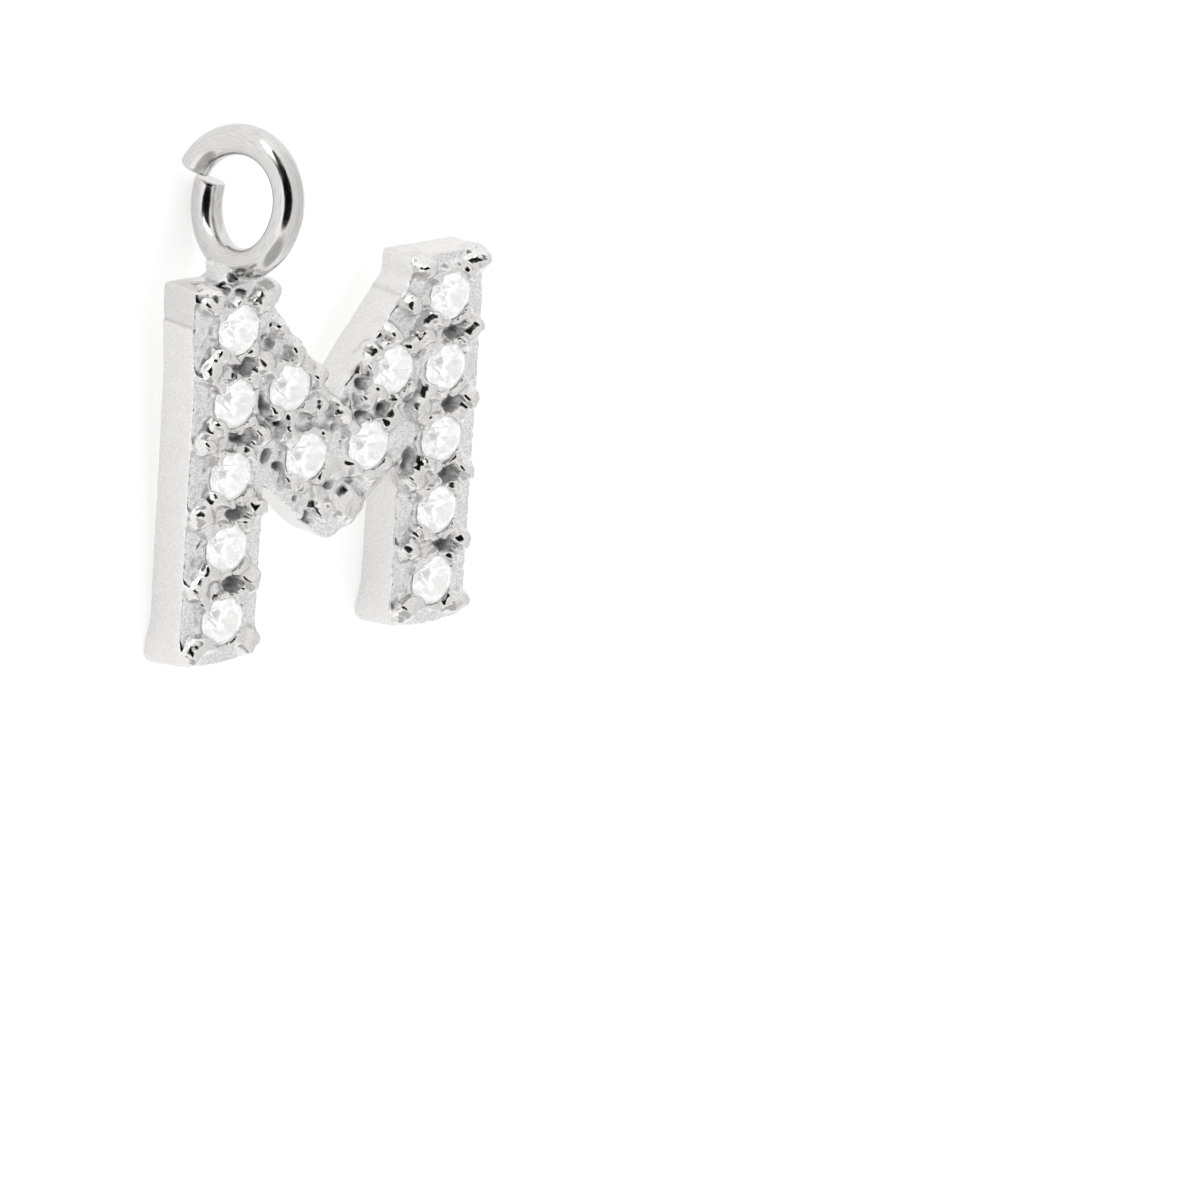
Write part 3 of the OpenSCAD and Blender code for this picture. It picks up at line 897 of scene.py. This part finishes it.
def drawn_silver(colours):
    """Silver wire, drawn through a plate and tumbled.

    It is almost a mirror, with fine lines along the wire that blur the studio a little.
    """
    made, tree = new_material("drawn_silver")
    along = add_node(tree, "UVMap", uv_map="wire").outputs["UV"]
    # Drawing lines 0.03 mm apart and broken every 0.25 mm by tumbling, on a map in mm.
    lines = add_node(tree, "Mapping", {"Vector": along, "Scale": (1 / 0.25, 1 / 0.03, 1.0)})
    drawn = add_node(
        tree, "TexNoise", {"Vector": lines.outputs["Vector"], "Scale": 1.0, "Detail": 3.0}
    ).outputs["Fac"]
    rough = ranged(tree, drawn, 0.3, 0.75, 0.08, 0.22)
    streaks = ranged(tree, drawn, 0.3, 0.6)
    tone = mixed(tree, streaks, linear(colours.wire_line), linear(colours.wire))
    bump = bumped(tree, drawn, 0.002, 0.5)
    finish_material(tree, Base_Color=tone, Metallic=1.0, Roughness=rough, Normal=bump)
    return made


def cut_zirconia(colours):
    """Cubic zirconia, cut and polished: clear, and far brighter inside than glass.

    The little light of its own is a painted glow that brightens the stones, standing in for light the
    cut sends back from the studio.
    """
    made, tree = new_material("cut_zirconia")
    place = add_node(tree, "TexCoord").outputs["Object"]
    # Polishing haze, in patches of about 0.2 mm, keeps the facets from being perfect mirrors.
    haze = grainy(tree, place, 0.2)
    rough = ranged(tree, haze, 0.0, 1.0, 0.0, 0.03)
    clear = linear(colours.stone)
    finish_material(
        tree,
        Base_Color=clear,
        Roughness=rough,
        IOR=2.15,
        Transmission_Weight=0.8,
        # A painted glow: the stones give off a little light of their own, though they are no lamp.
        Emission_Color=clear,
        Emission_Strength=0.14,
    )
    return made


def studio_floor(colours):
    """Opal acrylic of a light table, matt, lit softly from below."""
    made, tree = new_material("studio_floor")
    place = add_node(tree, "TexCoord").outputs["Object"]
    # A fine tooth, 0.4 mm across, keeps the floor from looking like paper-flat white.
    bump = bumped(tree, grainy(tree, place, 0.4), 0.02, 0.05)
    pale = linear(colours.floor)
    finish_material(
        tree,
        Base_Color=pale,
        Roughness=0.9,
        Normal=bump,
        Emission_Color=pale,
        Emission_Strength=0.5,
    )
    return made


# Studio


class View:
    """The camera's place, fixed to the letter as the photo shows it."""

    # Directions in the letter's own frame, and the distance in mm.
    UP = Vector((0.1455, 0.9563, -0.2536))
    BACK = Vector((-0.6618, 0.2846, 0.6936))
    DISTANCE = 200.0
    FRAME_PX = 1200
    PX_PER_MM = 47.0
    # Pixel at which the middle of the letter's face shows.
    FACE_PX = (333.5, 455.2)
    SENSOR = 36.0

    @classmethod
    def matrix(cls, plate_t):
        """The camera's place and turn in the scene."""
        back = cls.BACK.normalized()
        right = cls.UP.cross(back).normalized()
        up = back.cross(right)
        off_x = (cls.FACE_PX[0] - cls.FRAME_PX / 2) / cls.PX_PER_MM
        off_y = (cls.FRAME_PX / 2 - cls.FACE_PX[1]) / cls.PX_PER_MM
        face = Vector((0, 0, plate_t))
        place = LETTER @ (face + cls.DISTANCE * back - off_x * right - off_y * up)
        turn = Matrix((right, up, back)).transposed()
        tilt = LETTER.to_3x3().normalized()
        return Matrix.Translation(place) @ (tilt @ turn).to_4x4()

    @classmethod
    def lens(cls):
        """The focal length, in mm, that shows the face at PX_PER_MM."""
        return cls.PX_PER_MM * cls.DISTANCE * cls.SENSOR / cls.FRAME_PX


def shown(name, data, slot=None):
    """A new object in the scene. One with a slot is a piece of the pendant."""
    made = bpy.data.objects.new(name, data)
    bpy.context.scene.collection.objects.link(made)
    if slot:
        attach(made, BODY)
    return made


def area_light(name, towards, distance, size, power, target):
    """A square softbox at a distance in mm along a direction, facing a target."""
    light = bpy.data.lights.new(name, "AREA")
    light.shape = "SQUARE"
    light.size = size * MM
    light.energy = power
    lamp = shown(name, light)
    away = Vector(towards).normalized()
    facing = away.to_track_quat("Z", "Y").to_matrix().to_4x4()
    lamp.matrix_world = Matrix.Translation(target + away * distance * MM) @ facing


# Operators, one for each piece or group of like pieces


class PENDANT_OT_cast_letter(bpy.types.Operator):
    """Build the cast letter with its beads, recesses, seats and solder"""

    bl_idname = "pendant.cast_letter"
    bl_label = "Cast Letter"
    TRIANGLES = 190000

    def execute(self, context):
        scene = context.scene
        casting = Casting(scene.pendant_casting)
        mesh = cast_mesh("cast_letter", casting, Ring(scene.pendant_ring))
        mesh.materials.append(cast_silver(scene.pendant_colours))
        letter = shown("cast_letter", mesh, "silver")
        thin = letter.modifiers.new("Fewer faces on the flats", "DECIMATE")
        thin.ratio = min(1.0, self.TRIANGLES / (2 * len(mesh.polygons)))
        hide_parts(SETTING)
        return {"FINISHED"}


class PENDANT_OT_jump_ring(bpy.types.Operator):
    """Build the open jump ring from its wire"""

    bl_idname = "pendant.jump_ring"
    bl_label = "Jump Ring"
    # Turn from one section of the wire to the next, sides of a section, and the shares of the
    # wire's radius with which its cut ends are eased.
    STEP = math.radians(1.5)
    SIDES = 64
    ENDS = (0.9, 0.98)

    def execute(self, context):
        scene = context.scene
        ring = Ring(scene.pendant_ring)
        route = ring.route(self.STEP)
        last = len(route) - 1

        def radius_at(k):
            near_end = min(k, last - k)
            return ring.wire_r * (self.ENDS[near_end] if near_end < len(self.ENDS) else 1)

        mesh = sweep("jump_ring", route, radius_at, self.SIDES)
        mesh.transform(LETTER)
        for face in mesh.polygons:
            face.use_smooth = len(face.vertices) == 4
        mesh.materials.append(drawn_silver(scene.pendant_colours))
        shown("jump_ring", mesh, "silver")
        return {"FINISHED"}


class PENDANT_OT_dress_stones(bpy.types.Operator):
    """Give the cut stones their finish"""

    bl_idname = "pendant.dress_stones"
    bl_label = "Dress Stones"

    def execute(self, context):
        clear = cut_zirconia(context.scene.pendant_colours)
        for name in STONES:
            stone = frame["nodes"][name]
            for slot in stone.material_slots:
                slot.material = clear
        return {"FINISHED"}


class PENDANT_OT_studio(bpy.types.Operator):
    """Set up the floor, the light and the camera"""

    bl_idname = "pendant.studio"
    bl_label = "Studio"
    # Half the floor's side, in metres.
    FLOOR_REACH = 0.6
    # The softbox: direction in the camera's axes, distance and side in mm, and watts.
    KEY = ((-0.75, 0.95, 0.75), 260, 160, 0.25)
    # What the metal mirrors, as (direction in the camera's axes, the angles from it at which the
    # patch starts and is full, shade), the last on top. A grey room stands to the right, a greyer
    # patch below, and the dark lens and its hood look in from the front and a little above it.
    TENT = (
        ((0.95, 0.0, 0.3), 88, 45, "9E9E9E"),
        ((1.0, -0.1, -0.2), 60, 20, "949494"),
        ((-0.35, 0.1, 0.9), 56, 34, "B8B8B8"),
        ((-0.2, -0.92, 0.3), 43, 22, "7A7A7A"),
        ((-0.42, 0.68, 0.6), 22, 12, "4A4A4A"),
        ((-0.30, 0.5, 0.80), 27, 17, "2C2C2C"),
        ((-0.13, 0.27, 0.95), 31, 21, "101010"),
        ((0.0, 0.0, 1.0), 33, 25, "030303"),
    )
    TENT_SHADE, TENT_STRENGTH = "B2B2B2", 3.0

    def execute(self, context):
        scene = context.scene
        self.floor(scene)
        view = View.matrix(scene.pendant_casting.plate_t / MM)
        self.world(scene, view.to_3x3())
        self.lamps(view.to_3x3())
        data = bpy.data.cameras.new("camera")
        data.sensor_width = View.SENSOR
        data.lens = View.lens()
        data.clip_start = 0.01
        scene.camera = shown("camera", data)
        scene.camera.matrix_world = view
        scene.view_settings.view_transform = "Standard"
        return {"FINISHED"}

    def floor(self, scene):
        """A plain pale floor under the pendant."""
        reach = self.FLOOR_REACH
        mesh = bpy.data.meshes.new("floor")
        corners = [(-reach, -reach, 0), (reach, -reach, 0), (reach, reach, 0), (-reach, reach, 0)]
        mesh.from_pydata(corners, [], [(0, 1, 2, 3)])
        mesh.materials.append(studio_floor(scene.pendant_colours))
        shown("floor", mesh)

    def world(self, scene, camera_turn):
        """The tent as the metal sees it, by direction in the scene."""
        world = bpy.data.worlds.new("tent")
        world.use_nodes = True
        tree = world.node_tree
        tree.nodes.clear()
        way = add_node(tree, "TexCoord").outputs["Generated"]
        tone = linear(self.TENT_SHADE)
        for side, start, full, shade in self.TENT:
            towards = camera_turn @ Vector(side).normalized()
            facing = add_node(
                tree, "VectorMath", {0: way, 1: tuple(towards)}, operation="DOT_PRODUCT"
            ).outputs["Value"]
            ends = math.cos(math.radians(start)), math.cos(math.radians(full))
            share = ranged(tree, facing, *ends, interpolation_type="SMOOTHSTEP")
            tone = mixed(tree, share, tone, linear(shade))
        back = add_node(tree, "Background", {"Color": tone, "Strength": self.TENT_STRENGTH})
        add_node(tree, "OutputWorld", {"Surface": back.outputs[0]})
        scene.world = world

    def lamps(self, camera_turn):
        """One softbox, aimed at the middle of the pendant."""
        towards, distance, size, power = self.KEY
        target = Vector((0, 0, 0.001))
        area_light("key", camera_turn @ Vector(towards), distance, size, power, target)


class PENDANT_PT_panel(bpy.types.Panel):
    """Lists the steps and their sizes"""

    bl_label = "Pendant"
    bl_space_type = "VIEW_3D"
    bl_region_type = "UI"
    bl_category = "Pendant"

    def draw(self, context):
        scene = context.scene
        for group in (scene.pendant_casting, scene.pendant_ring, scene.pendant_colours):
            box = self.layout.box()
            for name in group.__annotations__:
                box.prop(group, name)
        for step in STEPS:
            self.layout.operator(step.bl_idname)


GROUPS = {
    "pendant_casting": CastingSizes,
    "pendant_ring": RingSizes,
    "pendant_colours": FinishColours,
}
STEPS = (
    PENDANT_OT_cast_letter,
    PENDANT_OT_jump_ring,
    PENDANT_OT_dress_stones,
    PENDANT_OT_studio,
)


def register():
    for kind in (*GROUPS.values(), *STEPS, PENDANT_PT_panel):
        bpy.utils.register_class(kind)
    for name, kind in GROUPS.items():
        setattr(bpy.types.Scene, name, PointerProperty(type=kind))


def unregister():
    for name in GROUPS:
        delattr(bpy.types.Scene, name)
    for kind in (PENDANT_PT_panel, *reversed(STEPS), *reversed(GROUPS.values())):
        bpy.utils.unregister_class(kind)


def main():
    register()
    for step in STEPS:
        family, name = step.bl_idname.split(".")
        getattr(getattr(bpy.ops, family), name)()


if __name__ == "__main__":
    main()
